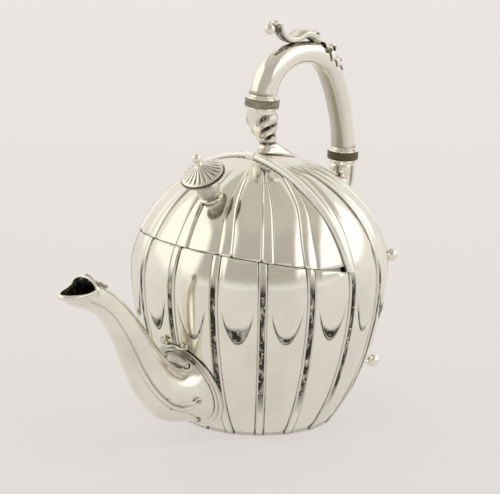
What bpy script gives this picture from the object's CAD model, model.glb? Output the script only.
"""Looks of a silver teapot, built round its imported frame."""

from functools import lru_cache
from math import atan, atan2, copysign, cos, degrees, exp, hypot, pi, radians, sin, sqrt, tau

import bmesh
import bpy
from mathutils import Matrix, Vector


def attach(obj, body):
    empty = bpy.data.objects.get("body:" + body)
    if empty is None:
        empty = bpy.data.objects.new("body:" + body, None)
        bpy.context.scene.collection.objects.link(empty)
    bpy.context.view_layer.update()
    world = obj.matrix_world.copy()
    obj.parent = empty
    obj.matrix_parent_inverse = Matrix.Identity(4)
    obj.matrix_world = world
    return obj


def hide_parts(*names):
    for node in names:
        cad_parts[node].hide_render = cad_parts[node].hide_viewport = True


bl_info = {
    "name": "Silver Teapot",
    "version": (1, 0, 0),
    "blender": (4, 5, 0),
    "location": "View3D > Sidebar > Teapot",
    "description": "Builds a melon-shaped silver teapot with a quarter lid round its packed frame",
    "category": "Add Mesh",
}

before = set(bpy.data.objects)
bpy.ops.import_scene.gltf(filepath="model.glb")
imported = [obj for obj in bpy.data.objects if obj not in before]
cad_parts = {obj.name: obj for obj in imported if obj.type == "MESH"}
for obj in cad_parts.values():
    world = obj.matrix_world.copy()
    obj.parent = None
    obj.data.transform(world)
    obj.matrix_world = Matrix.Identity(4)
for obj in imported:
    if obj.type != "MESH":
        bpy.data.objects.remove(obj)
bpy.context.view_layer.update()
MM = 0.001

# ---- sizes and outline taken from the frame's solids, in millimetres
BELLY_R = 68.0
BELLY_Z = 84.5
CROWN_Z = 145.3
BASE_R = 39.9
REEDS = 16
SEAM_Z, SEAM_SLOPE = 93.0, 0.202
ARCH_X, ARCH_LEAN = -1.8, 0.106
ARCH_COS = cos(atan(ARCH_LEAN))
ARCH_W, ARCH_H = 4.3, 2.7
LID_GAP = 0.35
SEAT = 1.0
PITCH = tau / REEDS
FOOT_SHAPE, CROWN_SHAPE = (0.386, 0.595), (0.039, 0.008, 0.002)

# ---- how the scene's own meshes are made: thickness of sheet and reach of welds in millimetres
SHEET, LID_SHEET, LEAF_SHEET = 1.0, 1.15, 0.4
WELD = 1e-4
# Sides of a round wire, and a direction that no wire runs along
WIRE_SIDES, OFF_WIRE = 10, Vector((0.31, 0.17, 0.93))
# Times a search for a level is halved
HALVINGS = 22


def clamp(x, lo=0.0, hi=1.0):
    return max(lo, min(hi, x))


def smooth(x, a=0.0, b=1.0):
    t = clamp((x - a) / (b - a))
    return t * t * (3 - 2 * t)


def plateau(x, a, b, c, d):
    """Rises from 0 to 1 between a and b and falls back between c and d."""
    return smooth(x, a, b) * (1 - smooth(x, c, d))


def bell(x, width):
    return exp(-((x / width) ** 2))


# ---- the plain egg that the reeds and panels stand on
def egg_rz(v):
    """Radius and height of the egg at level v: 0 foot, 1 belly, 2 crown."""
    if v < 1:
        s = 1 - v
        share = s * s * (1 + FOOT_SHAPE[0] * (s - 1) + FOOT_SHAPE[1] * (s - 1) ** 2)
        return BELLY_R - (BELLY_R - BASE_R) * share, BELLY_Z * v
    t = min(v - 1, 1) * pi / 2
    g = 1 - CROWN_SHAPE[0] * sin(2 * t) + CROWN_SHAPE[1] * sin(4 * t) - CROWN_SHAPE[2] * sin(6 * t)
    return BELLY_R * cos(t) * g, BELLY_Z + (CROWN_Z - BELLY_Z) * sin(t) * g


def egg_normal(v):
    a, b = egg_rz(max(v - 0.004, 0)), egg_rz(min(v + 0.004, 2))
    r, z = b[0] - a[0], b[1] - a[1]
    n = hypot(r, z)
    return z / n, -r / n


def halve(lo, hi, below):
    """The level between lo and hi where below(level) turns false."""
    for _ in range(HALVINGS):
        mid = (lo + hi) / 2
        lo, hi = (mid, hi) if below(mid) else (lo, mid)
    return (lo + hi) / 2


def level_at(z):
    return halve(0.0, 2.0, lambda v: egg_rz(v)[1] < z)


def crown_level(r):
    return halve(1.0, 2.0, lambda v: egg_rz(v)[0] > r)


def egg_radius(z, lift=0.0):
    v = level_at(z)
    return egg_rz(v)[0] + lift / max(egg_normal(v)[0], 0.3)


def egg_height(r, lift=0.0):
    v = crown_level(r)
    return egg_rz(v)[1] + lift / max(egg_normal(v)[1], 0.3)


def on_front(y, z, lift):
    """Point on the front of the body at side y and height z, lifted off the egg."""
    return Vector((-sqrt(max(egg_radius(max(z, 0.3), lift) ** 2 - y * y, 1)), y, max(z, 0.3)))


def seam_at(x):
    return SEAM_Z - SEAM_SLOPE * x


def arch_at(z):
    return ARCH_X - ARCH_LEAN * (z - SEAM_Z)


# ---- smooth runs through hand-set stations
def mix4(a, b, c, d, t):
    return [0.5 * (2 * q + (r - p) * t + (2 * p - 5 * q + 4 * r - s) * t * t
                   + (3 * q - p - 3 * r + s) * t ** 3) for p, q, r, s in zip(a, b, c, d)]


def along(stations, u):
    """Stations blended at u, where 0 is the first and 1 the last."""
    n = len(stations) - 1
    u = clamp(u) * n
    i = min(int(u), n - 1)
    return mix4(stations[max(i - 1, 0)], stations[i], stations[i + 1], stations[min(i + 2, n)], u - i)


def frame_at(stations, u, e=0.004):
    """Place, tangent and upward side of a run of [x, z, ...] stations in the handle's plane."""
    q, a, b = along(stations, u), along(stations, u - e), along(stations, u + e)
    t = Vector((b[0] - a[0], 0, b[1] - a[1])).normalized()
    return q, t, Vector((t.z, 0, -t.x))


# ---- making meshes
def tarnish_layer(bm):
    return bm.verts.layers.float.get("tarnish") or bm.verts.layers.float.new("tarnish")


def lay_grid(bm, across, length, place, round_it=False):
    """A grid laid over a surface: place(i, j) gives a point in mm and how tarnished it is."""
    layer = tarnish_layer(bm)
    verts = bmesh.ops.create_grid(bm, x_segments=across, y_segments=length, size=1)["verts"]
    for v in verts:
        i = round((v.co.x + 1) / 2 * across)
        j = round((v.co.y + 1) / 2 * length)
        point, v[layer] = place(i % across if round_it else i, j)
        v.co = point
    if round_it:
        bmesh.ops.remove_doubles(bm, verts=verts, dist=WELD)
    return verts


def close_ends(bm):
    rims = [e for e in bm.edges if e.is_boundary]
    if rims:
        bmesh.ops.holes_fill(bm, edges=rims, sides=0)


def face_out(bm):
    bmesh.ops.recalc_face_normals(bm, faces=bm.faces)


def drop_faces(bm, gone):
    """Deletes the faces whose centre gone() picks."""
    bmesh.ops.delete(bm, geom=[f for f in bm.faces if gone(f.calc_center_median())], context="FACES")


def spin_outline(bm, outline, steps):
    """Turns a chain of points once round the upright axis."""
    edges = [bm.edges.new(pair) for pair in zip(outline, outline[1:])]
    bmesh.ops.spin(bm, geom=outline + edges, cent=(0, 0, 0), axis=(0, 0, 1), angle=tau,
                   steps=steps, use_merge=True)


def tube(bm, around, length, place):
    """A closed tube: place(a, u) with a in radians round it and u from 0 to 1 along it."""
    part = bmesh.new()
    lay_grid(part, around, length, lambda i, j: place(tau * (i / around), j / length), True)
    close_ends(part)
    face_out(part)
    mesh = bpy.data.meshes.new("part")
    part.to_mesh(mesh)
    part.free()
    bm.from_mesh(mesh)
    bpy.data.meshes.remove(mesh)


def ball(bm, centre, radius, tarnish=0.0, stretch=(1, 1, 1), segments=24):
    layer = tarnish_layer(bm)
    made = bmesh.ops.create_uvsphere(bm, u_segments=segments, v_segments=segments // 2, radius=radius)
    for v in made["verts"]:
        v.co = Vector([a * b for a, b in zip(v.co, stretch)]) + Vector(centre)
        v[layer] = tarnish


def wire(bm, points, radii, tarnish, steps):
    """A round wire through points, with one radius for each of them."""
    stations = [[*p, r] for p, r in zip(points, radii)]

    def place(a, u):
        q = along(stations, u)
        t = (Vector(along(stations, u + 0.01)[:3]) - Vector(along(stations, u - 0.01)[:3])).normalized()
        s = t.cross(OFF_WIRE).normalized()
        return Vector(q[:3]) + q[3] * (cos(a) * s + sin(a) * s.cross(t)), tarnish

    tube(bm, WIRE_SIDES, steps * (len(points) - 1), place)


def new_object(bm, name, materials):
    mesh = bpy.data.meshes.new(name)
    bm.to_mesh(mesh)
    bm.free()
    for m in materials:
        mesh.materials.append(m)
    obj = bpy.data.objects.new(name, mesh)
    bpy.context.scene.collection.objects.link(obj)
    return obj


def piece(bm, name, body, nodes, materials, wall=0.0):
    """Turns a bmesh in mm into a finished piece that rides on a body and stands for CAD nodes."""
    bmesh.ops.scale(bm, vec=(MM, MM, MM), verts=bm.verts)
    obj = new_object(bm, name, materials)
    obj.data.polygons.foreach_set("use_smooth", [True] * len(obj.data.polygons))
    obj.data.update()
    if wall:
        mod = obj.modifiers.new("Sheet", "SOLIDIFY")
        mod.thickness = wall * MM
        mod.offset = -1
        mod.use_rim = True
        mod.material_offset = len(materials) - 1
    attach(obj, body)
    if nodes:
        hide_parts(*nodes)


# ---- finishes
def node(tree, kind, values=None, **props):
    n = tree.nodes.new(kind)
    for k, v in props.items():
        setattr(n, k, v)
    for k, v in (values or {}).items():
        n.inputs[k].default_value = v
    return n


def link(tree, out, socket):
    tree.links.new(out, socket)


def maths(tree, op, a, b=None, c=None):
    n = node(tree, "ShaderNodeMath", operation=op)
    for k, v in enumerate((a, b, c)):
        if v is None:
            continue
        if isinstance(v, (int, float)):
            n.inputs[k].default_value = v
        else:
            link(tree, v, n.inputs[k])
    return n.outputs[0]


def ranged(tree, value, lo, hi, out_lo=0.0, out_hi=1.0, kind="LINEAR"):
    n = node(tree, "ShaderNodeMapRange", {1: lo, 2: hi, 3: out_lo, 4: out_hi}, interpolation_type=kind)
    link(tree, value, n.inputs[0])
    return n.outputs[0]


def object_place(tree):
    return node(tree, "ShaderNodeTexCoord").outputs["Object"]


def stretched(tree, place, scale, turn=(0, 0, 0)):
    n = node(tree, "ShaderNodeMapping", {"Rotation": turn, "Scale": scale})
    link(tree, place, n.inputs["Vector"])
    return n.outputs[0]


def noise(tree, place, scale, detail, roughness=0.5):
    n = node(tree, "ShaderNodeTexNoise", {"Scale": scale, "Detail": detail, "Roughness": roughness})
    link(tree, place, n.inputs["Vector"])
    return n.outputs[0]


def mixed(tree, share, first, second):
    """Two colours, each a value or a socket, blended by share."""
    n = node(tree, "ShaderNodeMix", data_type="RGBA")
    link(tree, share, n.inputs[0])
    for k, colour in ((6, first), (7, second)):
        if isinstance(colour, bpy.types.NodeSocket):
            link(tree, colour, n.inputs[k])
        else:
            n.inputs[k].default_value = (*colour, 1)
    return n.outputs[2]


def relief(tree, shader, height, strength, distance):
    n = node(tree, "ShaderNodeBump", {"Strength": strength, "Distance": distance})
    link(tree, height, n.inputs["Height"])
    link(tree, n.outputs[0], shader.inputs["Normal"])


def new_material(name, slot):
    mat = bpy.data.materials.new(name)
    mat["slot"] = slot
    mat.use_nodes = True
    return mat, mat.node_tree, mat.node_tree.nodes["Principled BSDF"]


def new_group(name, inputs, outputs):
    """A node group of plain numbers: inputs are (name, default), outputs are names."""
    tree = bpy.data.node_groups.new(name, "ShaderNodeTree")
    for label, default in inputs:
        socket = tree.interface.new_socket(name=label, in_out="INPUT", socket_type="NodeSocketFloat")
        socket.default_value = default
    for label in outputs:
        tree.interface.new_socket(name=label, in_out="OUTPUT", socket_type="NodeSocketFloat")
    return tree, tree.nodes.new("NodeGroupInput"), tree.nodes.new("NodeGroupOutput")


def tarnish_group():
    """Dark sulphide in hollows: an attribute broken up by specks, and a haze in broad patches."""
    tree, given, out = new_group("Tarnish in hollows", [("Hollow", 0.0), ("Haze", 0.1)], ["Mask", "Haze"])
    place, hollow = object_place(tree), given.outputs["Hollow"]
    specks = noise(tree, stretched(tree, place, (1, 1, 0.35)), 420.0, 3.0, 0.6)
    bright = ranged(tree, noise(tree, place, 620.0, 1.0), 0.66, 0.72, 1.0, 0.1)
    broken = maths(tree, "MULTIPLY", ranged(tree, specks, 0.38, 0.64, 1.35, 0.42), bright)
    thick = ranged(tree, hollow, 0.6, 0.85)
    share = maths(tree, "MULTIPLY_ADD", thick, maths(tree, "SUBTRACT", broken, 1.0), 1.0)
    mask = node(tree, "ShaderNodeClamp")
    link(tree, maths(tree, "MULTIPLY", hollow, share), mask.inputs[0])
    patches = ranged(tree, noise(tree, place, 38.0, 4.0, 0.55), 0.42, 0.72)
    link(tree, mask.outputs[0], out.inputs["Mask"])
    link(tree, maths(tree, "MULTIPLY", patches, given.outputs["Haze"]), out.inputs["Haze"])
    return tree


def wear_group():
    """Fine polishing lines, small knocks and the slight waviness of hand-raised sheet."""
    tree, given, out = new_group("Polishing wear", [("Waviness", 1.0), ("Lines", 1.0)],
                                 ["Height", "Roughness"])
    place = object_place(tree)
    total = None
    for turn, stretch, scale in ((0.5, (1, 1, 26), 32.5), (1.3, (24, 1, 1), 30.0), (2.2, (1, 30, 2), 28.75)):
        aim = stretched(tree, place, stretch, (turn, 0.6 * turn, 1.7 * turn))
        thin = ranged(tree, noise(tree, aim, scale, 2.0), 0.60, 0.70)
        total = thin if total is None else maths(tree, "MAXIMUM", total, thin)
    lines = maths(tree, "MULTIPLY", total, given.outputs["Lines"])
    waves = maths(tree, "MULTIPLY", noise(tree, place, 42.0, 1.5, 0.45), given.outputs["Waviness"])
    knocks = node(tree, "ShaderNodeTexVoronoi", {"Scale": 95.0, "Randomness": 1.0})
    link(tree, place, knocks.inputs["Vector"])
    dents = ranged(tree, knocks.outputs["Distance"], 0.0, 0.16, -0.16, 0.0)
    height = maths(tree, "ADD", maths(tree, "MULTIPLY_ADD", lines, -0.015, waves), dents)
    link(tree, height, out.inputs["Height"])
    link(tree, lines, out.inputs["Roughness"])
    return tree


def silver(name, slot, colour, dark, roughness, waviness=1.0, hollow_base=0.0, haze=0.1, metal=1.0):
    """Polished silver whose hollows and handled places have darkened."""
    found = bpy.data.materials.get(name)
    if found:
        return found
    made = bpy.data.node_groups
    tarnish = made.get("Tarnish in hollows") or tarnish_group()
    wear = made.get("Polishing wear") or wear_group()
    mat, tree, shader = new_material(name, slot)
    shader.inputs["Metallic"].default_value = metal
    given = node(tree, "ShaderNodeAttribute", attribute_name="tarnish").outputs["Fac"]
    hollow = node(tree, "ShaderNodeGroup", {"Haze": haze}, node_tree=tarnish)
    link(tree, maths(tree, "ADD", given, hollow_base), hollow.inputs["Hollow"])
    mask, hazed = hollow.outputs
    worn = node(tree, "ShaderNodeGroup", {"Waviness": waviness}, node_tree=wear)
    link(tree, mixed(tree, maths(tree, "ADD", mask, hazed), colour, dark), shader.inputs["Base Color"])
    rough = maths(tree, "MULTIPLY_ADD", mask, 0.22, roughness)
    rough = maths(tree, "MULTIPLY_ADD", worn.outputs["Roughness"], 0.06, rough)
    link(tree, maths(tree, "MULTIPLY_ADD", hazed, 0.25, rough), shader.inputs["Roughness"])
    relief(tree, shader, maths(tree, "MULTIPLY_ADD", mask, -0.25, worn.outputs["Height"]), 1.0, 0.00016)
    return mat


def bone(name, slot, light, dark, gloss):
    """Old bone: rings of growth, darker pores and a dull polish."""
    found = bpy.data.materials.get(name)
    if found:
        return found
    mat, tree, shader = new_material(name, slot)
    shader.inputs["Coat Weight"].default_value = 0.15
    shader.inputs["Coat Roughness"].default_value = 0.3
    place = object_place(tree)
    grain = noise(tree, stretched(tree, place, (1, 1, 9)), 170.0, 6.0, 0.65)
    pores = ranged(tree, noise(tree, place, 1400.0, 2.0), 0.6, 0.75, 0.0, 0.5)
    share = maths(tree, "ADD", ranged(tree, grain, 0.3, 0.7), pores)
    link(tree, mixed(tree, share, light, dark), shader.inputs["Base Color"])
    link(tree, ranged(tree, grain, 0.3, 0.7, gloss, gloss + 0.15), shader.inputs["Roughness"])
    relief(tree, shader, share, 0.6, 0.0001)
    return mat


def finishes():
    f = bpy.context.scene.teapot_finish
    light, dark = f.silver_colour[:], f.tarnish_colour[:]
    return {
        "raised": silver("Raised silver", "silver", light, dark, f.polish),
        "cast": silver("Cast silver", "silver", light, dark, f.polish + 0.04, 0.8, 0.0, 0.16),
        "burnished": silver("Burnished silver", "silver", (0.985, 0.965, 0.91), dark, f.polish + 0.14,
                            0.5, 0.0, 0.04, 0.6),
        "dark inside": silver("Dark inside", "silver", [0.5 * c for c in light], dark, 0.5, 0.8, 0.85, 0.5),
        "old": silver("Old silver", "shaded_silver", light, dark, f.polish + 0.10, 0.6, 0.18, 0.3),
        "blackened": silver("Blackened silver", "shaded_silver", light, dark, f.polish + 0.12, 0.6, 0.5, 0.5),
        "inside": silver("Inside silver", "silver", [0.72 * c for c in light], dark, f.polish + 0.22,
                         0.8, 0.12, 0.5),
        "front bone": bone("Front bone", "front_bone", f.front_bone_colour[:], (0.10, 0.095, 0.055), 0.38),
        "rear bone": bone("Rear bone", "rear_bone", f.rear_bone_colour[:], (0.085, 0.05, 0.025), 0.36),
    }


# ---- the melon: reeds, panels and tongues pressed into the egg
REED_STEPS = (0.0, 0.3, 0.6, 0.85, 1.0)
LINE_STEPS = (0.4, 0.75, 1.0)
PANEL_STEPS = (0.93, 0.84, 0.76, 0.67, 0.56, 0.43, 0.3, 0.15, 0.0)
HALF = [(kind, a) for kind, steps in (("reed", REED_STEPS), ("line", LINE_STEPS), ("panel", PANEL_STEPS))
        for a in steps]
COLUMNS = HALF + [(kind, a) for kind, a in reversed(HALF[1:-1])]
LINE_W = 0.7
TONGUE_FILL = (0.35, 1.25, 0.6, 0.95)
TONGUE_ARM = (0.70, 0.80)
TONGUE_ROWS = (-12, -9, -6.5, -4.5, -3, -1.9, -1.1, -0.6, -0.3, 0, 0.25, 0.6, 1, 1.6, 2.4, 3.4, 4.6, 6, 7.6,
               9.5, 12)


def reed_half(r, sizes, wide):
    """Half width of a reed; the ribs of the lid broaden from the crown to the seam."""
    width = sizes.reed_width / MM
    if wide:
        width = sizes.rib_width / MM * clamp(1 - 0.02 * (64 - r), 0.25, 1)
    return min(width / 2, 0.3 * r * sin(PITCH / 2))


def lid_shift(g, r):
    """Turn of the lid's ribs from the reeds, in radians: the lid is hung a little askew."""
    turn = degrees(g) % 360 - 180
    crown = max(1.2 + 0.0756 * (turn - 22.5), -1)
    seam = 3.8 * bell(turn - 24, 30)
    return radians(crown + (seam - crown) * smooth(r, 42, 62)) * (1 - smooth(abs(turn), 74, 92))


def press(kind, a, r, z, row_z, sizes, lid, fill):
    """How far a point stands off the egg, how far it lies from the reed's middle, and its tarnish."""
    h = reed_half(r, sizes, lid)
    line = min(LINE_W, h)
    half = r * PITCH / 2
    fade = smooth(r, 20, 34) if z > BELLY_Z else 1
    high, deep, bulge = sizes.reed_height / MM, sizes.line_depth / MM, sizes.panel_bulge / MM
    e = row_z - sizes.tongue_height / MM
    worn = plateau(z, 17, 28, 84, 97)
    if kind == "reed":
        dark = 0 if lid else worn * (1 - smooth(a, 0.6, 0.85)) + 0.2 * (1 - worn) * smooth(a, 0.6, 1)
        top = 0.25 + 0.75 * sqrt(1 - a ** 4) if lid else 0.35 + 0.65 * sqrt(1 - a * a)
        return fade * high * top, a * h, fade * dark
    if kind == "line":
        d = (-1.4 * deep, -1.0 * deep, -0.3 * deep)[LINE_STEPS.index(a)]
        dark = (0.95, 0.6, 0.1)[LINE_STEPS.index(a)] * (0.45 if lid else 1 - 0.5 * worn)
        return fade * d, h + a * line, fade * dark
    crown = 1 - a * a
    s = h + line + (half - h - line) * (1 - a)
    if lid:
        return fade * bulge * crown, s, 0.0
    arm = 1 - smooth(a, *TONGUE_ARM)
    drop = sizes.tongue_depth / MM * arm
    pillow = sqrt(max(1 - (1 - clamp(e / 9)) ** 2, 0))
    top = (bulge * crown + drop * 0.5) * pillow
    low = 0.45 * bulge * crown * smooth(-e, 0, 8) - 0.3 * deep * bell(e, 0.5)
    line_dark = arm * bell(e + 0.1, 0.6 + 1.6 * a * a)
    thick = 7.0 * fill * (1 - (a / 0.68) ** 2)
    tip = arm * plateau(e, 0.6, 1.3, thick - 1.6, thick) if thick > 1.6 else 0
    return fade * (top if e > 0 else low), s, clamp(max(line_dark, tip))


def melon(levels, sizes, lid):
    """Spins the egg's outline round, then presses the pattern into it."""
    bm = bmesh.new()
    row_of = bm.verts.layers.int.new("row")
    tarnish = bm.verts.layers.float.new("tarnish")
    outline = []
    for k, v in enumerate(levels):
        r, z = egg_rz(v)
        p = bm.verts.new((r, 0, z))
        p[row_of] = k
        outline.append(p)
    count = REEDS * len(COLUMNS)
    spin_outline(bm, outline, count)
    tongue_z, rise = sizes.tongue_height / MM, sizes.tongue_rise / MM
    for p in bm.verts:
        r, row_z = egg_rz(levels[p[row_of]])
        if r < 0.5:
            continue
        place = round(atan2(p.co.y, p.co.x) / tau * count) % count
        reed, k = divmod(place, len(COLUMNS))
        kind, a = COLUMNS[k]
        z = row_z
        if not lid:
            q = a if kind == "panel" else 0.985
            swing = plateau(row_z, 26, tongue_z - 2, tongue_z + 4, 99)
            z += rise * min((q / 0.8) ** 2.2, 1.2) * swing
        v = level_at(z)
        r, z = egg_rz(v)
        n = egg_normal(v)
        d, s, p[tarnish] = press(kind, a, r, z, row_z, sizes, lid, TONGUE_FILL[reed % len(TONGUE_FILL)])
        side = -1 if k > len(COLUMNS) // 2 else 1
        reed += 1 if side < 0 else 0
        g = PITCH * reed + side * s / r
        if lid:
            g += lid_shift(g, r)
        if row_z < 0.01:
            n = (1.0, 0.0)
        p.co = ((r + d * n[0]) * cos(g), (r + d * n[0]) * sin(g), z + d * n[1])
    bmesh.ops.remove_doubles(bm, verts=bm.verts, dist=WELD)
    face_out(bm)
    if sum(f.normal.dot(f.calc_center_median() - Vector((0, 0, BELLY_Z))) for f in bm.faces) < 0:
        bmesh.ops.reverse_faces(bm, faces=bm.faces)
    return bm


def slice_at(bm, point, normal, keep=0):
    """Cuts along a plane; keep=1 drops what lies behind it, -1 what lies in front, 0 neither."""
    bmesh.ops.bisect_plane(bm, geom=bm.verts[:] + bm.edges[:] + bm.faces[:], dist=1e-5, plane_co=point,
                           plane_no=normal, clear_inner=keep > 0, clear_outer=keep < 0)


SEAM_NO = Vector((SEAM_SLOPE, 0, 1)).normalized()
ARCH_NO = Vector((1, 0, ARCH_LEAN)).normalized()


class Piece(bpy.types.Operator):
    """Builds one piece, or a group that belongs together, from the sizes and finishes of the scene"""

    bl_options = {"REGISTER", "UNDO"}

    def execute(self, context):
        self.build(context.scene.teapot_sizes, finishes())
        return {"FINISHED"}


class TEAPOT_OT_body(Piece):
    """Raises the melon body with its reeds and tongues, open in front of the arch"""

    bl_idname = "teapot.body"
    bl_label = "Melon body"

    def build(self, sizes, finish):
        tongue = sizes.tongue_height / MM
        low = [i / 6 * (tongue - 14) for i in range(6)]
        rows = low + [tongue + e for e in TONGUE_ROWS] + [tongue + 12 + 2.4 * i for i in range(1, 8)]
        levels = [z / BELLY_Z for z in rows if z < BELLY_Z - 1]
        levels += [1 + 0.035 * i for i in range(28)] + [1.985, 2]
        bm = melon(levels, sizes, False)
        slice_at(bm, (0, 0, SEAM_Z), SEAM_NO)
        back = ARCH_W / 2 + 0.1
        slice_at(bm, (ARCH_X + back, 0, SEAM_Z), ARCH_NO)
        drop_faces(bm, lambda c: c.z > seam_at(c.x) and c.x < arch_at(c.z) + back)
        rim = [e for e in bm.edges if e.is_boundary and e.verts[0].co.z < 0.5]
        foot = bmesh.ops.extrude_edge_only(bm, edges=rim)["geom"]
        for v in foot:
            if isinstance(v, bmesh.types.BMVert):
                v.co = Vector((v.co.x, v.co.y, 0)).normalized() * (BASE_R - 5)
        piece(bm, "melon_body", "pot", ["body_shell"], [finish["raised"], finish["inside"]], SHEET)


class TEAPOT_OT_lid(Piece):
    """Raises the quarter lid with its broad ribs, cut to the seam and the arch"""

    bl_idname = "teapot.lid"
    bl_label = "Lid"

    def build(self, sizes, finish):
        bm = melon([0.97 + 0.022 * i for i in range(44)], sizes, True)
        edge = ARCH_W / 2 + LID_GAP
        slice_at(bm, (0, 0, SEAM_Z + LID_GAP), SEAM_NO, 1)
        slice_at(bm, (ARCH_X - edge, 0, SEAM_Z), ARCH_NO, -1)
        corner_rise, length = 2.4, 15.0
        corner_z = seam_at(arch_at(SEAM_Z) - edge) + LID_GAP + corner_rise
        x = arch_at(corner_z) - edge
        start = Vector((x - length, 0, seam_at(x - length) + LID_GAP))
        run = Vector((x, 0, corner_z)) - start
        slice_at(bm, start, Vector((-run.z, 0, run.x)).normalized(), 1)
        piece(bm, "melon_lid", "lid", ["lid_shell"], [finish["raised"], finish["inside"]], LID_SHEET)


def arch_point(s, c0, c1):
    """Point on the arch wire: s runs over the pot from -1 to 1, c0 across the wire, c1 outwards."""
    crown = crown_level(abs(arch_at(CROWN_Z - 0.4)))
    foot = level_at(SEAM_Z - 2)

    def flat(t):
        r, z = egg_rz(foot + (crown - foot) * (1 - t * t))
        return Vector((copysign(sqrt(max(r * r - arch_at(z) ** 2, 0)), t), (z - SEAM_Z) / ARCH_COS))

    p = flat(s)
    t = (flat(min(s + 0.02, 1)) - flat(max(s - 0.02, -1))).normalized()
    y, w = p.x + t.y * c1, p.y - t.x * c1
    return Vector((ARCH_X + ARCH_COS * (c0 - ARCH_LEAN * w), y, SEAM_Z + ARCH_COS * (w + ARCH_LEAN * c0)))


class TEAPOT_OT_arch(Piece):
    """Bends the half-round wire that edges the opening over the pot"""

    bl_idname = "teapot.arch"
    bl_label = "Arch bead"

    def build(self, sizes, finish):
        wide = ARCH_W / 2 + 0.4
        section = [(-ARCH_W / 2, -1.2, 0.6), (-ARCH_W / 2, -0.4, 0.8), (-ARCH_W / 2, 0.3, 0.3)]
        for k in range(1, 14):
            g = pi * (1 - k / 14)
            section.append((0.4 + wide * cos(g), 0.4 + (ARCH_H - 0.4) * sin(g) ** 0.8, 0.0))
        section += [(0.4 + wide, 0.3, 0.3), (0.4 + wide, -0.4, 0.8), (0.4 + wide, -1.2, 0.6)]
        bm = bmesh.new()
        n = len(section)

        def place(a, u):
            c0, c1, dark = section[round(a / tau * n) % n]
            return arch_point(2 * u - 1, c0, -c1), dark

        tube(bm, n, 150, place)
        gap = 3.0
        slice_at(bm, (0, gap, 0), (0, 1, 0))
        slice_at(bm, (0, -gap, 0), (0, 1, 0))
        drop_faces(bm, lambda c: abs(c.y) < gap)
        slice_at(bm, (0, 0, SEAM_Z), SEAM_NO, 1)
        close_ends(bm)
        face_out(bm)
        piece(bm, "arch_bead", "pot", ["arch_moulding", "hinge_pot_knuckles"], [finish["burnished"]])


# ---- spout: [x, z, half depth, half width] from root to mouth
SPOUT = [(-65.5, 28, 15.4, 15.6), (-73, 30.8, 14.5, 13.7), (-80.4, 37, 13, 11.8), (-87, 45.8, 12, 10.7),
         (-93, 55.4, 10.9, 9.9), (-99, 65, 9.8, 9.1), (-105.8, 74, 8.9, 8.6), (-113, 81.8, 8.1, 8.2),
         (-121, 87.9, 7.7, 8.1), (-129, 91.9, 7.7, 8.4)]
ROOT_Z, ROOT_W, ROOT_H = 27.0, 36.0, 40.0
MOUTH_BACK, MOUTH_LIP, MOUTH_W = Vector((-131, 0, 102.1)), Vector((-148.7, 0, 93.5)), 18.0
MOUTH_SIDE = 96.5
MOUTH_MIDDLE = Vector((-137.5, 0, 97))


def root_point(g, grow, lift):
    return on_front((ROOT_W / 2 + grow) * sin(g), ROOT_Z + (ROOT_H / 2 + grow) * cos(g), SEAT + lift)


def mouth_point(g, cut=0.0):
    """Edge of the mouth: the back stands up from two side corners, the sides run down and out to the lip."""
    c, side = cos(g), sin(g)
    s = max(-c, 0)
    p = Vector((MOUTH_BACK.x + (MOUTH_LIP.x - MOUTH_BACK.x) * s ** 1.3,
                copysign(MOUTH_W / 2 * abs(side) ** 0.9, side),
                MOUTH_SIDE + (MOUTH_BACK.z - MOUTH_SIDE) * max(c, 0) ** 1.2
                + (MOUTH_LIP.z - MOUTH_SIDE) * (1 - (1 - s) ** 2)))
    return p + cut * (MOUTH_MIDDLE - p).normalized()


def spout_oval(u, g):
    q, _, s = frame_at(SPOUT, u, 0.006)
    return Vector((q[0], q[3] * sin(g), q[1])) + s * (q[2] * cos(g))


@lru_cache(maxsize=None)
def spout_run(g):
    """The stations of one line down the spout, g radians round it from the top."""
    last = len(SPOUT) - 1
    root, c = root_point(g, 0, 0), 0.5 + 0.5 * cos(g)
    first = (1 - c) * spout_oval(0, g) + 0.5 * c * (root + spout_oval(0.667 / last, g))
    end = (spout_oval(1, g) + mouth_point(g)) / 2 + Vector((-0.8, 0, -0.6))
    return (root, first, *[spout_oval(k / last, g) for k in range(1, last + 1)], end, mouth_point(g))


def spout_point(u, g):
    """Point on the spout's skin: u from root to mouth, g round it in radians from the top."""
    return Vector(along(spout_run(g), u))


def belly_lift(u, g):
    """The spout's underside swells where it meets the body."""
    return 2.2 * bell(u - 0.08, 0.07) * smooth(-cos(g), 0.2, 0.95)


def spout_skin(u, g, lift=0.0):
    p, lift = spout_point(u, g), lift + belly_lift(u, g)
    a = spout_point(u, g + 0.05) - spout_point(u, g - 0.05)
    b = spout_point(min(u + 0.01, 1), g) - spout_point(max(u - 0.01, 0), g)
    return p + a.cross(b).normalized() * lift


# Edges of the band down the spout's back and of its side panel: (u, degrees round from the top)
BAND_EDGE = [(0.10, 34), (0.15, 38), (0.2, 43), (0.27, 50), (0.325, 56), (0.388, 64), (0.45, 71), (0.52, 71),
             (0.6, 67), (0.68, 62), (0.75, 54), (0.85, 44), (0.92, 38)]
SIDE_EDGE = [(0.06, 106), (0.09, 115), (0.125, 121), (0.188, 122), (0.254, 124), (0.317, 126), (0.383, 128),
             (0.492, 128), (0.6, 126), (0.7, 122), (0.82, 116)]
# Half width of a chased line on the spout, 0.55 mm, in degrees at a radius of 1 mm
LINE_SPREAD = 57.3 * 0.55


def edge_angle(edge, u):
    """Angle of an edge line at u, held past its two ends."""
    if u <= edge[0][0]:
        return edge[0][1]
    for (u0, g0), (u1, g1) in zip(edge, edge[1:]):
        if u <= u1:
            return g0 + (g1 - g0) * smooth(u, u0, u1)
    return edge[-1][1]


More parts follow.
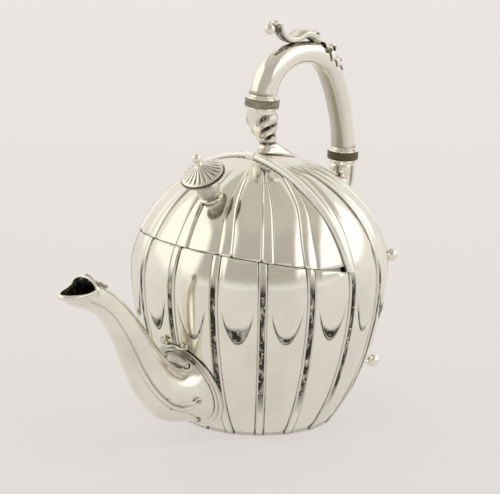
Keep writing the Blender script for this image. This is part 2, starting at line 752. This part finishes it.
def band_edge(u, side):
    return u, side * radians(edge_angle(BAND_EDGE, u))


class TEAPOT_OT_spout(Piece):
    """Raises the swan-necked spout with a band down its back and a lined side panel"""

    bl_idname = "teapot.spout"
    bl_label = "Spout"

    def build(self, sizes, finish):
        bm = bmesh.new()
        around, length = 120, 150

        def place(i, j):
            g, u = tau * i / around, j / length
            p = spout_point(u, g)
            turn = min(degrees(g), 360 - degrees(g))
            ends = plateau(u, 0.05, 0.12, 0.88, 0.95)
            width = LINE_SPREAD / max(along([(s[2], s[3]) for s in SPOUT], u)[1], 6)
            edge = edge_angle(BAND_EDGE, u)
            band = turn - edge
            hollow = max(1 - (turn / edge) ** 2, 0) * plateau(u, 0.0, 0.06, 0.86, 0.95)
            lift = 0.4 * ends * bell(band - 1.5 * width, width * 1.7) - 1.1 * hollow
            saddle = max(1 - (turn / edge) ** 2, 0) ** 0.6 * (1 - smooth(u, 0.15, 0.38))
            dark = 0.85 * ends * bell(band + 0.9 * width, width * 0.8) + 0.6 * saddle
            side = turn - edge_angle(SIDE_EDGE, u)
            near_root = 1 - smooth(u, 0.15, 0.5)
            lift += 0.35 * ends * (bell(side - 2.2 * width, width * 1.8) - 0.8 * bell(side, width))
            dark += (0.4 + 0.55 * near_root) * ends * bell(side, width * 0.8)
            dark += 0.5 * near_root * ends * bell(side - 4.4 * width, width * 0.7)
            lift += belly_lift(u, g)
            out = (p - spout_point(u, g + pi)).normalized()
            return p + out * lift, clamp(dark)

        lay_grid(bm, around, length, place, True)
        face_out(bm)
        piece(bm, "spout_skin", "pot", ["spout"], [finish["cast"], finish["dark inside"]], SHEET)


class TEAPOT_OT_spout_rim(Piece):
    """Lays the rolled rim on the mouth, thick at the lip"""

    bl_idname = "teapot.spout_rim"
    bl_label = "Spout rim"

    def build(self, sizes, finish):
        bm = bmesh.new()
        around, length = 12, 120

        def place(i, j):
            g, a = tau * j / length, tau * i / around
            edge = mouth_point(g, 0.5)
            run = (mouth_point(g + 0.03, 0.5) - mouth_point(g - 0.03, 0.5)).normalized()
            up = (edge - MOUTH_MIDDLE).cross(run).normalized()
            out = run.cross(up)
            r = 0.7 + 0.45 * smooth(-cos(g), 0.3, 0.95)
            dark = 0.5 * bell(sin(a) + 1, 0.5)
            return edge + up * r * 0.9 + r * (cos(a) * out + sin(a) * up), dark

        lay_grid(bm, around, length, place, True)
        bmesh.ops.remove_doubles(bm, verts=bm.verts, dist=10 * WELD)
        face_out(bm)
        piece(bm, "mouth_rim", "pot", ["spout_rim"], [finish["cast"]])


class TEAPOT_OT_spout_crest(Piece):
    """Sets the beaded leaf on the ridge behind the mouth"""

    bl_idname = "teapot.spout_crest"
    bl_label = "Spout crest"

    def build(self, sizes, finish):
        bm = bmesh.new()
        for u, lift, r in ((0.985, 0.9, 1.5), (0.93, 1.0, 1.75), (0.885, 0.9, 1.4), (0.85, 0.6, 1.0)):
            ball(bm, spout_skin(u, 0.0, lift), r, 0.25, (1.25, 0.8, 0.8), segments=20)
        for side in (-1, 1):
            for u, g, r in ((0.955, 0.30, 1.0), (0.915, 0.32, 1.0), (0.875, 0.28, 1.1), (0.835, 0.24, 1.2),
                            (0.795, 0.22, 1.3), (0.755, 0.16, 1.1)):
                ball(bm, spout_skin(u, side * g, -0.2), r, 0.3, (1.35, 0.85, 0.9), segments=16)
            rail = [spout_skin(*band_edge(u, side), 0.15) for u in (0.965, 0.93, 0.88, 0.82)]
            wire(bm, rail, [0.3, 0.55, 0.5, 0.2], 0.2, steps=6)
        piece(bm, "crest_leaf", "pot", ["spout_crest"], [finish["old"]])


class TEAPOT_OT_spout_border(Piece):
    """Runs the double moulding round the root of the spout, on the body"""

    bl_idname = "teapot.spout_border"
    bl_label = "Root moulding"

    def build(self, sizes, finish):
        bm = bmesh.new()
        section = [(0.0, -0.6, 0.3), (0.3, 0.3, 0.2), (0.8, 0.75, 0.0), (1.4, 0.8, 0.0), (2.0, 0.6, 0.1),
                   (2.35, 0.45, 0.75), (2.6, 0.5, 0.7), (2.85, 0.9, 0.2), (3.2, 1.25, 0.0), (3.7, 1.3, 0.0),
                   (4.1, 0.95, 0.1), (4.4, 0.35, 0.3), (4.5, -0.1, 0.4)]
        n, length = len(section), 160

        def place(i, j):
            grow, lift, dark = section[i]
            g = tau * j / length
            top, low = smooth(cos(g), 0.35, 0.8), smooth(-cos(g), 0.3, 0.9)
            lift *= 1 - 0.75 * top - 0.6 * low
            return root_point(g, grow, lift), dark * (1 - 0.75 * max(top, low)) + 0.3 * top

        strip = lay_grid(bm, n - 1, length, place)
        bmesh.ops.remove_doubles(bm, verts=strip, dist=10 * WELD)
        face_out(bm)
        piece(bm, "root_moulding", "pot", ["spout_border"], [finish["cast"]])


def scroll(bm, centre, normal, start, turns, radius, thick, hand, tarnish, lead=(), lead_radii=()):
    """A wire that follows lead, then winds in to a centre on the face that normal points out of."""
    normal = Vector(normal).normalized()
    across = (Vector(start) - normal * Vector(start).dot(normal)).normalized()
    other = normal.cross(across) * hand
    points, radii = [], []
    steps = int(turns * 14)
    for k in range(steps + 1):
        w = k / steps
        a, r = tau * turns * w, radius * (1 - 0.86 * w)
        points.append(Vector(centre) + r * (cos(a) * across + sin(a) * other) + normal * (0.9 * w))
        radii.append(thick * (1 - 0.35 * w))
    wire(bm, [*lead, *points], [*lead_radii, *radii], tarnish, steps=3)


class TEAPOT_OT_spout_scrolls(Piece):
    """Winds the scrolls and curls where the spout meets the body"""

    bl_idname = "teapot.spout_scrolls"
    bl_label = "Spout scrolls"

    @staticmethod
    def seat(u, turn, lift):
        """Place on the spout's skin and the way it faces, with turn in degrees."""
        g = radians(turn)
        return spout_skin(u, g, lift), (spout_skin(u, g, 1) - spout_skin(u, g)).normalized()

    def build(self, sizes, finish):
        bm = bmesh.new()
        for side in (-1, 1):
            base = on_front(side * 7.2, 53.2, SEAT + 0.2)
            out = Vector((base.x, base.y, 12)).normalized()
            stem = [on_front(side * y, z, SEAT + 0.3) for y, z in ((1.2, 50.4), (3.6, 50.2), (6.0, 50.4))]
            scroll(bm, base, out, (0, side, -1.2), 1.2, 2.6, 0.75, -side, 0.25, stem, (0.5, 0.8, 0.8))
            ball(bm, base + out * 0.3, 1.1, 0.1, segments=16)
            rail = [spout_skin(*band_edge(u, side), 0.25) for u in (0.6, 0.5, 0.42, 0.34, 0.27, 0.21, 0.17)]
            eye, face = self.seat(0.098, side * 36, 1.5)
            scroll(bm, eye, face, rail[-1] - eye, 1.35, 3.0, 0.85, -side, 0.08, rail,
                   (0.2, 0.3, 0.4, 0.5, 0.6, 0.65, 0.7))
            ball(bm, eye + face * 0.5, 1.0, 0.05, segments=16)
            ball(bm, eye - face * 2.4, 2.5, 0.9, segments=20)
            for u, turn, hand, r, tail in ((0.069, 105, side, 2.3, ((0.2, 121), (0.15, 117), (0.105, 108))),
                                           (0.034, 148, -side, 2.1, ((0.16, 136), (0.11, 132), (0.07, 132)))):
                eye, face = self.seat(u, side * turn, 0.9)
                tail = [self.seat(w, side * t, 0.3)[0] for w, t in tail]
                scroll(bm, eye, face, tail[-1] - eye, 1.15, r, 0.62, hand, 0.1, tail, (0.25, 0.4, 0.5))
                ball(bm, eye - face * 0.9, 1.3, 0.9, segments=12)
        piece(bm, "spout_volutes", "pot", ["spout_scrolls"], [finish["cast"]])


# ---- handle: [x, z, half depth, half width] from front to rear
JOIN_H = 4.5
FRONT_RING, FRONT_LEAN, FRONT_D = Vector((0, 0, 172.8)), radians(6.2), 18.5
REAR_RING, REAR_LEAN, REAR_D = Vector((64.4, 0, 132.9)), radians(3.4), 16.8
FRONT_TOP = FRONT_RING + JOIN_H * Vector((sin(FRONT_LEAN), 0, cos(FRONT_LEAN)))
REAR_TOP = REAR_RING + JOIN_H * Vector((sin(REAR_LEAN), 0, cos(REAR_LEAN)))
LOOP = [(FRONT_TOP.x, FRONT_TOP.z, 7.5, 7.5), (2.6, 183.3, 7.6, 7.5), (6.2, 188.6, 7.7, 7.5),
        (12.3, 192.7, 7.4, 7.2), (21.5, 195, 6.6, 6.5), (31.5, 195, 6.1, 6.2), (41.3, 192.2, 6.2, 6.3),
        (48.8, 186.3, 6.4, 6.5), (53.9, 178.2, 6.5, 6.6), (58, 168.5, 6.5, 6.5), (61.2, 158, 6.4, 6.4),
        (63.4, 147.5, 6.3, 6.3), (REAR_TOP.x, REAR_TOP.z, 6.6, 6.6)]
THUMB = [(7, 214.6, 0.9, 2.2), (9.8, 214.8, 1.2, 2.8), (12, 211.9, 1.1, 3), (13, 208.4, 1.2, 3.2),
         (16.5, 205.2, 1.4, 3.4), (20.8, 203.8, 1.5, 3.7), (25.9, 204.3, 2.2, 4), (30.9, 205.6, 2.7, 4.2),
         (35.7, 204.3, 2.6, 4.1), (39.7, 201.2, 2, 3.6), (42.6, 198.7, 1, 2.4)]
THUMB_END, THUMB_END_R, THUMB_RAIL = (4.9, 0, 211.9), 3.15, 1.85


def run_point(stations, u, g, swell=0.0):
    q, _, s = frame_at(stations, u, 0.004)
    return Vector((q[0], (q[3] + swell) * sin(g), q[1])) + s * ((q[2] + swell) * cos(g))


class TEAPOT_OT_loop(Piece):
    """Bends the hollow loop of the handle"""

    bl_idname = "teapot.loop"
    bl_label = "Handle loop"

    def build(self, sizes, finish):
        bm = bmesh.new()

        def place(a, u):
            if u in (0.0, 1.0):
                q, lean = (LOOP[0], FRONT_LEAN) if u == 0 else (LOOP[-1], pi + REAR_LEAN)
                s = Vector((cos(lean), 0, -sin(lean)))
                return Vector((q[0], q[3] * sin(a), q[1])) + s * (q[2] * cos(a)), 0.5
            near_end = max(bell(u, 0.012), bell(1 - u, 0.012))
            inner = 0.32 * smooth(cos(a), 0.2, 0.9) * smooth(u, 0.45, 0.6)
            return run_point(LOOP, u, a), 0.5 * near_end + inner

        tube(bm, 40, 150, place)
        piece(bm, "loop_tube", "pot", ["handle_loop"], [finish["raised"]])


class TEAPOT_OT_thumb(Piece):
    """Shapes the thumb scroll with its raised edges and end ball"""

    bl_idname = "teapot.thumb"
    bl_label = "Thumb scroll"

    def build(self, sizes, finish):
        bm = bmesh.new()

        def place(a, u):
            dish = 0.5 * max(-cos(a), 0) ** 2 * smooth(u, 0.05, 0.3)
            under = 0.8 * smooth(cos(a), 0.1, 0.7)
            dark = clamp(under + 0.3 * bell(cos(a) + 0.7, 0.1) * smooth(u, 0.3, 0.5))
            return run_point(THUMB, u, a, 0.35) + frame_at(THUMB, u)[2] * dish, dark

        tube(bm, 28, 70, place)
        ball(bm, THUMB_END, THUMB_END_R)
        for side in (-1, 1):
            rail = [run_point(THUMB, u, side * THUMB_RAIL, 0.15)
                    for u in (0.04, 0.14, 0.28, 0.42, 0.56, 0.7, 0.84, 0.96)]
            wire(bm, rail, [0.5, 0.6, 0.7, 0.8, 0.85, 0.8, 0.7, 0.3], 0.0, steps=5)
            for x, y, z, r in ((39.3, 2.6, 203.6, 2.6), (33.0, 3.2, 205.4, 1.6)):
                eye = Vector((x, side * y, z))
                scroll(bm, eye, (0.1, side, 0.25), (-1, 0, -0.5), 1.15, r, 0.36 * r, side, 0.05)
                ball(bm, eye - Vector((0, side * 0.7, 0)), 0.6 * r, 0.85, segments=16)
        piece(bm, "thumb_leaf", "pot", ["thumb_scroll"], [finish["cast"]])


class TEAPOT_OT_loop_leaf(Piece):
    """Chases the leaf that wraps the back of the loop, with its curls"""

    bl_idname = "teapot.loop_leaf"
    bl_label = "Loop leaf"

    def build(self, sizes, finish):
        bm = bmesh.new()
        spans = len(LOOP) - 1
        first, last = 6.1 / spans, 8.3 / spans
        across, length = 48, 60

        def place(i, j):
            w, t = j / length, 2 * i / across - 1
            lobes = 1 - 0.26 * abs(sin(3.5 * pi * w + 0.4)) ** 1.5
            half = radians(max(92 * sin(pi * (0.08 + 0.9 * w) ** 0.75) * lobes, 6))
            side_vein = bell(sin(3.5 * pi * w + 2.6 * abs(t)), 0.3)
            vein = bell(t, 0.09) + 0.7 * side_vein * smooth(abs(t), 0.1, 0.3)
            lift = 0.35 + 1.7 * (1 - t * t) ** 0.4 * (1 - 0.5 * w) - 0.6 * vein
            spot = run_point(LOOP, first + (last - first) * w, pi + t * half, max(lift, 0.12))
            return spot, clamp(0.55 * vein + 0.4 * bell(abs(t) - 1, 0.08))

        lay_grid(bm, across, length, place)
        face_out(bm)
        curls = bmesh.new()
        for side in (-1, 1):
            for u, turn, lift, r in ((6.75, 168, 2.0, 2.5), (6.3, 132, 1.0, 1.9), (7.35, 150, 1.0, 1.5)):
                place_on = (LOOP, u / spans, -side * radians(turn))
                eye = run_point(*place_on, lift)
                out = (eye - run_point(*place_on, -4)).normalized()
                face = (out * 0.5 + Vector((0, side, 0))).normalized()
                scroll(curls, eye, face, (-0.8, 0, 0.6), 1.15, r, 0.36 * r, side, 0.05)
                ball(curls, eye - face * 0.35 * r, 0.6 * r, 0.85, segments=16)
        piece(curls, "acanthus_curls", "pot", [], [finish["cast"]])
        piece(bm, "acanthus_leaf", "pot", ["loop_leaf"], [finish["cast"]], LEAF_SHEET)


def foot_ring(g, k):
    x, y = 11.5 + 15 * k * cos(g), 6.6 * k * sin(g)
    return Vector((x, y, egg_height(hypot(x, y), SEAT)))


# Neck of the front socket: (x, share of its height, half depth, half width)
FRONT_NECK = [(6.6, 0.095, 7, 5.2), (4.6, 0.18, 4.7, 4.6), (2.8, 0.316, 5.4, 5.3), (1.2, 0.48, 6.8, 6.6),
              (0.3, 0.644, 8, 7.8)]
# Neck of the rear socket: (x, z, half depth, half width, tip in degrees)
REAR_NECK = [(63.5, 117, 7.4, 6, 50), (64.5, 121, 6.6, 5.9, 25), (63.9, 124.4, 6.9, 6.6, 6)]


def socket_top(ring, lean, d, g):
    c = ring - JOIN_H * Vector((sin(lean), 0, cos(lean)))
    r = d / 2 - 1.5
    return c + Vector((r * cos(lean) * cos(g), r * sin(g), -r * sin(lean) * cos(g)))


class TEAPOT_OT_front_socket(Piece):
    """Casts the front socket, wound with leaves, on its long foot"""

    bl_idname = "teapot.front_socket"
    bl_label = "Front socket"

    def build(self, sizes, finish):
        bm = bmesh.new()

        def ring(k, g):
            if k < 3:
                return foot_ring(g, (0.1, 0.7, 1.0)[k])
            if k < 8:
                x, share, deep, wide = FRONT_NECK[k - 3]
                z = CROWN_Z + share * (FRONT_RING.z - CROWN_Z)
                return Vector((x + deep * cos(g), wide * sin(g), z))
            return socket_top(FRONT_RING, FRONT_LEAN, FRONT_D, g)

        def place(a, u):
            p = Vector(along([ring(k, a) for k in range(9)], u))
            high = plateau(u, 0.54, 0.62, 0.93, 0.99)
            back = abs(atan2(sin(a), cos(a)))
            leafy = 1 - smooth(back, 2.3, 2.8)
            wind = sin(19 * (u + 0.12 * back) + 0.9 * sin(2.2 * back))
            ridge, fold = abs(wind) ** 0.6, bell(wind, 0.6)
            out = Vector((cos(a), sin(a), 0))
            lift = high * leafy * (0.9 * ridge - 1.3 * fold)
            collar, throat = bell(u - 0.555, 0.014), bell(u - 0.495, 0.035)
            dark = high * leafy * (1.3 * fold + 0.2 * (1 - ridge)) + throat + 0.7 * bell(u - 0.15, 0.02)
            return p + out * (lift + 0.5 * collar - 0.3 * throat), clamp(dark)

        tube(bm, 96, 110, place)
        piece(bm, "front_acanthus", "pot", ["front_socket", "front_leaf"], [finish["cast"]])


class TEAPOT_OT_rear_socket(Piece):
    """Casts the rear socket with its folded leaf"""

    bl_idname = "teapot.rear_socket"
    bl_label = "Rear socket"

    def build(self, sizes, finish):
        bm = bmesh.new()

        def ring(k, g):
            if k < 3:
                grow = (0.1, 0.6, 1)[k]
                y, z = 7 * grow * sin(g), 111 - 10 * grow * cos(g)
                return Vector((sqrt(egg_radius(z, SEAT) ** 2 - y * y), y, z))
            if k < 6:
                x, z, deep, wide, tip = REAR_NECK[k - 3]
                tip = radians(tip)
                return Vector((x + deep * cos(tip) * cos(g), wide * sin(g),
                               z - deep * sin(tip) * cos(g)))
            return socket_top(REAR_RING, REAR_LEAN, REAR_D, g)

        def place(a, u):
            p = Vector(along([ring(k, a) for k in range(7)], u))
            high = plateau(u, 0.38, 0.55, 0.93, 0.99)
            fold = bell(sin(2.5 * a + 0.6), 0.28)
            out = Vector((cos(a), sin(a), 0))
            return p + out * high * (0.35 - 0.8 * fold), clamp(0.9 * high * fold)

        tube(bm, 80, 80, place)
        piece(bm, "rear_acanthus", "pot", ["rear_socket", "rear_leaf"], [finish["cast"]])


# ---- knob
KNOB_X, KNOB_Y, KNOB_TILT = 42.3, 4.5, radians(27)
CAP_R, CAP_Z, CAP_H, FLUTES = 12.0, 15.5, 7.2, 20


def knob_place():
    spot = Vector((-KNOB_X, -KNOB_Y, egg_height(hypot(KNOB_X, KNOB_Y))))
    return Matrix.Translation(spot) @ Matrix.Rotation(-KNOB_TILT, 4, "Y")


class TEAPOT_OT_knob(Piece):
    """Turns the knob's cap and cuts its flutes"""

    bl_idname = "teapot.knob"
    bl_label = "Knob cap"

    def build(self, sizes, finish):
        bm = bmesh.new()
        tarnish = bm.verts.layers.float.new("tarnish")
        outline = [(1.6, CAP_Z - 1.2), (CAP_R - 1.6, CAP_Z - 1.2), (CAP_R - 1, CAP_Z - 0.6),
                   (CAP_R - 1, CAP_Z + 0.6), (CAP_R - 0.4, CAP_Z + 0.9), (CAP_R - 0.4, CAP_Z + 1.15)]
        for t in [k / 14 for k in range(15)]:
            dome = 0.62 * t + 0.38 * t ** 2.2
            outline.append((CAP_R - 0.4 - t * (CAP_R - 2.6), CAP_Z + 1.25 + (CAP_H - 1.6) * dome))
        outline += [(1.3, CAP_Z + CAP_H)]
        flute = (1.0, 0.35, 0, 0, 0, 0, 0, 0.35)
        steps = FLUTES * len(flute)
        spin_outline(bm, [bm.verts.new((r, 0, z)) for r, z in outline], steps)
        for v in bm.verts:
            r = hypot(v.co.x, v.co.y)
            k = round(atan2(v.co.y, v.co.x) / tau * steps) % len(flute)
            if v.co.z > CAP_Z + 1.2 and 2.0 < r < CAP_R - 1.2:
                cut = flute[k] * plateau(r, 2.0, 3.6, CAP_R - 2.6, CAP_R - 1.3)
                v.co.z -= 0.5 * cut
                v[tarnish] = min(1.3 * cut, 1)
            elif v.co.z < CAP_Z + 0.8 and r > CAP_R - 2:
                v[tarnish] = 0.8
        face_out(bm)
        bmesh.ops.transform(bm, matrix=knob_place(), verts=bm.verts)
        piece(bm, "fluted_cap", "lid", ["knob_cap"], [finish["cast"]])


class TEAPOT_OT_fittings(Piece):
    """Gives the frame's own turned and sheet pieces their finishes"""

    bl_idname = "teapot.fittings"
    bl_label = "Fittings"

    def build(self, sizes, finish):
        plain = {
            "raised": ["upper_foot_near", "upper_foot_far", "lower_foot_near", "lower_foot_far",
                       "front_upper_collar", "front_lower_collar", "rear_upper_collar", "rear_lower_collar",
                       "knob_finial", "base_plate"],
            "cast": ["knob_collar", "knob_nut", "knob_stud"],
            "burnished": ["hinge_lid_knuckle"],
            "old": ["hinge_pin", "insulator_pins", "knob_baluster"],
            "blackened": ["knob_beading"],
            "inside": ["lid_bearer", "tea_shelf", "shelf_brackets"],
            "front bone": ["front_insulator"],
            "rear bone": ["rear_insulator"],
        }
        for look, names in plain.items():
            for name in names:
                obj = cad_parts[name]
                obj.data.materials.clear()
                obj.data.materials.append(finish[look])


# ---- stage
CAMERA_AT = Vector((-2.01173, -1.89289, 0.86524))
CAMERA_RIGHT = Vector((0.68966, -0.72398, 0.01524))
CAMERA_UP = Vector((0.18487, 0.19637, 0.96294))
LENS_PIXELS, FRAME_PIXELS, SENSOR = 5361.9, 500, 36.0


def coordinates(tree, kind):
    split = node(tree, "ShaderNodeSeparateXYZ")
    link(tree, node(tree, "ShaderNodeTexCoord").outputs[kind], split.inputs[0])
    return split.outputs


def leaning(tree, xyz, x_share, y_share):
    """How far a place lies along a level direction."""
    across = maths(tree, "MULTIPLY", xyz[0], x_share)
    return maths(tree, "ADD", across, maths(tree, "MULTIPLY", xyz[1], y_share))


def floor_material(colour):
    """Pale paper lit a little from below, brighter towards the back."""
    mat = bpy.data.materials.new("Floor")
    mat.use_nodes = True
    tree = mat.node_tree
    shader = tree.nodes["Principled BSDF"]
    for label, value in (("Base Color", (*[0.25 * c for c in colour], 1)), ("Roughness", 0.6),
                         ("Specular IOR Level", 0.1), ("Emission Color", (1, 0.95, 0.915, 1))):
        shader.inputs[label].default_value = value
    away = leaning(tree, coordinates(tree, "Object"), 0.72, 0.69)
    link(tree, ranged(tree, away, -0.5, 0.9, 0.552, 0.642), shader.inputs["Emission Strength"])
    return mat


def sky(world, finish):
    """A pale studio: brighter walls to left and right, a greyer one behind the viewer, a dull ceiling."""
    world.use_nodes = True
    tree = world.node_tree
    back = tree.nodes["Background"]
    xyz = coordinates(tree, "Generated")

    def towards(azimuth, lo, hi, slant):
        a = radians(azimuth)
        flat = leaning(tree, xyz, cos(a), sin(a))
        return ranged(tree, maths(tree, "MULTIPLY_ADD", xyz[2], slant, flat), lo, hi, kind="SMOOTHSTEP")

    def between(a, b, c, d):
        up = ranged(tree, xyz[2], a, b, kind="SMOOTHSTEP")
        return maths(tree, "MULTIPLY", up, ranged(tree, xyz[2], c, d, 1.0, 0.0, "SMOOTHSTEP"))

    viewer = degrees(atan2(CAMERA_AT.y, CAMERA_AT.x))
    light = mixed(tree, between(0.74, 0.84, 2, 3), (0.86, 0.85, 0.81), (0.57, 0.535, 0.475))
    for colour, way_to, band in (
            ((0.50, 0.47, 0.43), (viewer + 3, 0.10, 0.42, 0.0), (0.01, 0.18, 0.82, 0.90)),
            ((1.16, 1.13, 1.05), (viewer - 90, 0.84, 0.98, 0.5), (0.0, 0.16, 0.74, 0.86)),
            ((1.34, 1.34, 1.32), (viewer + 90, 0.57, 0.72, 0.0), (0.08, 0.28, 0.66, 0.78))):
        light = mixed(tree, maths(tree, "MULTIPLY", towards(*way_to), between(*band)), light, colour)
    link(tree, light, back.inputs[0])
    plain = node(tree, "ShaderNodeBackground")
    plain.inputs[0].default_value = (*finish.backdrop_colour[:], 1)
    path = node(tree, "ShaderNodeLightPath")
    choose = node(tree, "ShaderNodeMixShader")
    link(tree, path.outputs["Is Camera Ray"], choose.inputs[0])
    link(tree, back.outputs[0], choose.inputs[1])
    link(tree, plain.outputs[0], choose.inputs[2])
    link(tree, choose.outputs[0], tree.nodes["World Output"].inputs["Surface"])


class TEAPOT_OT_stage(Piece):
    """Sets the pale floor, the soft studio light and the camera"""

    bl_idname = "teapot.stage"
    bl_label = "Stage"

    def build(self, sizes, finish):
        scene = bpy.context.scene
        look = scene.teapot_finish
        bm = bmesh.new()
        bmesh.ops.create_circle(bm, cap_ends=True, radius=6, segments=96)
        floor = new_object(bm, "floor", [floor_material(look.floor_colour[:])])
        world = bpy.data.worlds.new("Studio")
        scene.world = world
        sky(world, look)
        lamp = bpy.data.lights.new("Ceiling softbox", "AREA")
        lamp.shape = "RECTANGLE"
        lamp.size, lamp.size_y = 0.7, 0.5
        lamp.energy = 5.0
        lamp.color = (1, 0.985, 0.95)
        light = bpy.data.objects.new("Ceiling softbox", lamp)
        spot = Vector((-0.45, -0.25, 1.9))
        light.location = spot
        light.rotation_euler = (Vector((0, 0, 0.08)) - spot).to_track_quat("-Z", "Y").to_euler()
        light.visible_camera = False
        light.visible_glossy = False
        scene.collection.objects.link(light)
        camera = bpy.data.cameras.new("Camera")
        camera.lens = LENS_PIXELS * SENSOR / FRAME_PIXELS
        camera.sensor_width = SENSOR
        camera.clip_end = 60
        eye = bpy.data.objects.new("Camera", camera)
        back = CAMERA_RIGHT.cross(CAMERA_UP)
        aim = Matrix((CAMERA_RIGHT, CAMERA_UP, back)).transposed().to_4x4()
        eye.matrix_world = Matrix.Translation(CAMERA_AT) @ aim
        scene.collection.objects.link(eye)
        scene.camera = eye
        scene.view_settings.view_transform = "Standard"


def measure(name, text, default, lo, hi):
    return bpy.props.FloatProperty(name=name, description=text, default=default * MM, min=lo * MM,
                                   max=hi * MM, unit="LENGTH", subtype="DISTANCE", precision=5)


def paint(name, text, default):
    return bpy.props.FloatVectorProperty(name=name, description=text, default=default, size=3, min=0, max=1,
                                         subtype="COLOR")


class TeapotSizes(bpy.types.PropertyGroup):
    reed_width: measure("Reed width", "Width of a reed on the body", 4.0, 3, 5)
    rib_width: measure("Rib width", "Width of a lid rib at the seam", 7.0, 4, 8)
    reed_height: measure("Reed height", "Height of a reed over its panel", 0.9, 0.5, 1.2)
    line_depth: measure("Line depth", "Depth of the chased line beside a reed", 0.2, 0, 0.3)
    panel_bulge: measure("Panel bulge", "Bulge of a panel between two reeds", 0.7, 0, 1)
    tongue_height: measure("Tongue height", "Height of the tips of the tongues", 58.0, 52, 64)
    tongue_rise: measure("Tongue rise", "Rise of a tongue's edge from its tip to the reed", 16.0, 10, 18)
    tongue_depth: measure("Tongue depth", "Depth of the panel below a tongue", 0.5, 0.2, 0.6)


class TeapotFinish(bpy.types.PropertyGroup):
    silver_colour: paint("Silver", "Colour of the polished silver", (0.925, 0.89, 0.80))
    tarnish_colour: paint("Tarnish", "Colour of the tarnish in the hollows", (0.052, 0.043, 0.032))
    front_bone_colour: paint("Front bone", "Colour of the front insulator", (0.45, 0.39, 0.28))
    rear_bone_colour: paint("Rear bone", "Colour of the rear insulator", (0.115, 0.075, 0.036))
    floor_colour: paint("Floor", "Colour of the floor", (0.735, 0.72, 0.71))
    backdrop_colour: paint("Backdrop", "Colour behind the floor", (0.79, 0.77, 0.74))
    polish: bpy.props.FloatProperty(name="Polish", description="Roughness of the brightest silver",
                                    default=0.11, min=0.02, max=0.4, subtype="FACTOR")


MAKERS = (TEAPOT_OT_body, TEAPOT_OT_lid, TEAPOT_OT_arch, TEAPOT_OT_spout, TEAPOT_OT_spout_rim,
          TEAPOT_OT_spout_crest, TEAPOT_OT_spout_border, TEAPOT_OT_spout_scrolls, TEAPOT_OT_loop,
          TEAPOT_OT_thumb, TEAPOT_OT_loop_leaf, TEAPOT_OT_front_socket, TEAPOT_OT_rear_socket,
          TEAPOT_OT_knob, TEAPOT_OT_fittings, TEAPOT_OT_stage)


class TEAPOT_PT_panel(bpy.types.Panel):
    """Sizes, finishes and pieces of the teapot"""

    bl_idname = "TEAPOT_PT_panel"
    bl_label = "Silver teapot"
    bl_space_type = "VIEW_3D"
    bl_region_type = "UI"
    bl_category = "Teapot"

    def draw(self, context):
        for title, group in (("Sizes", context.scene.teapot_sizes), ("Finish", context.scene.teapot_finish)):
            box = self.layout.box()
            box.label(text=title)
            for prop in group.bl_rna.properties:
                if prop.identifier in group.__annotations__:
                    box.prop(group, prop.identifier)
        for maker in MAKERS:
            self.layout.operator(maker.bl_idname)


def register():
    for cls in (TeapotSizes, TeapotFinish, *MAKERS, TEAPOT_PT_panel):
        bpy.utils.register_class(cls)
    bpy.types.Scene.teapot_sizes = bpy.props.PointerProperty(type=TeapotSizes)
    bpy.types.Scene.teapot_finish = bpy.props.PointerProperty(type=TeapotFinish)


def unregister():
    del bpy.types.Scene.teapot_finish
    del bpy.types.Scene.teapot_sizes
    for cls in (TEAPOT_PT_panel, *reversed(MAKERS), TeapotFinish, TeapotSizes):
        bpy.utils.unregister_class(cls)


def main():
    register()
    for maker in MAKERS:
        group, name = maker.bl_idname.split(".")
        getattr(getattr(bpy.ops, group), name)()


if __name__ == "__main__":
    main()
